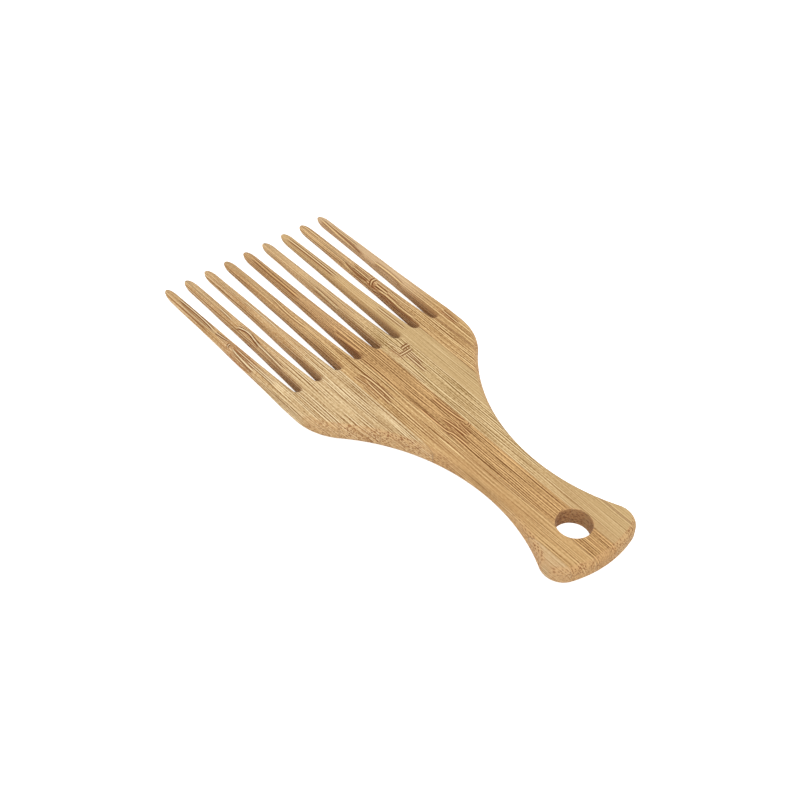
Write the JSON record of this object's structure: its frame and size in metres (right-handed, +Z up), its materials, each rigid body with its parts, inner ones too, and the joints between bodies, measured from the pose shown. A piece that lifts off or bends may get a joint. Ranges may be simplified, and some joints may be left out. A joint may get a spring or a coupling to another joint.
{
  "type": "hair pick",
  "caption": "Flat wooden hair pick with long tapered teeth, a wide head, a waisted handle and a round hanging hole, laid up from bamboo strips glued edge to edge.",
  "frame": {"origin": "under the middle of the pick's box, on the plane that the underside rests on", "axes": "+Y along the pick from the handle to the tooth tips, +Z up through the thickness, +X across the teeth"},
  "size_m": [0.0686, 0.1698, 0.0064],
  "materials": {
    "bamboo_pale": "sanded smooth, satin, bare bamboo",
    "bamboo_straw": "sanded smooth, satin, bare bamboo",
    "bamboo_olive": "sanded smooth, satin, bare bamboo",
    "bamboo_honey": "sanded smooth, satin, bare bamboo",
    "glue": "cured wood glue in a thin brown line"
  },
  "bodies": {
    "root": {"bamboo_strip_1": "bamboo_pale", "bamboo_strip_2": "bamboo_pale", "bamboo_strip_3": "bamboo_pale", "bamboo_strip_3_handle_end": "bamboo_pale", "bamboo_strip_4": "bamboo_straw", "bamboo_strip_5": "bamboo_honey", "bamboo_strip_5_handle_end": "bamboo_honey", "bamboo_strip_6": "bamboo_olive", "bamboo_strip_7": "bamboo_olive", "bamboo_strip_7_handle_end": "bamboo_olive", "bamboo_strip_8": "bamboo_straw", "bamboo_strip_9": "bamboo_straw", "glue_line_1": "glue", "glue_line_2": "glue", "glue_line_3": "glue", "glue_line_3_handle_end": "glue", "glue_line_4": "glue", "glue_line_4_handle_end": "glue", "glue_line_5": "glue", "glue_line_5_handle_end": "glue", "glue_line_6": "glue", "glue_line_6_handle_end": "glue", "glue_line_7": "glue", "glue_line_8": "glue"}
  },
  "joints": []
}
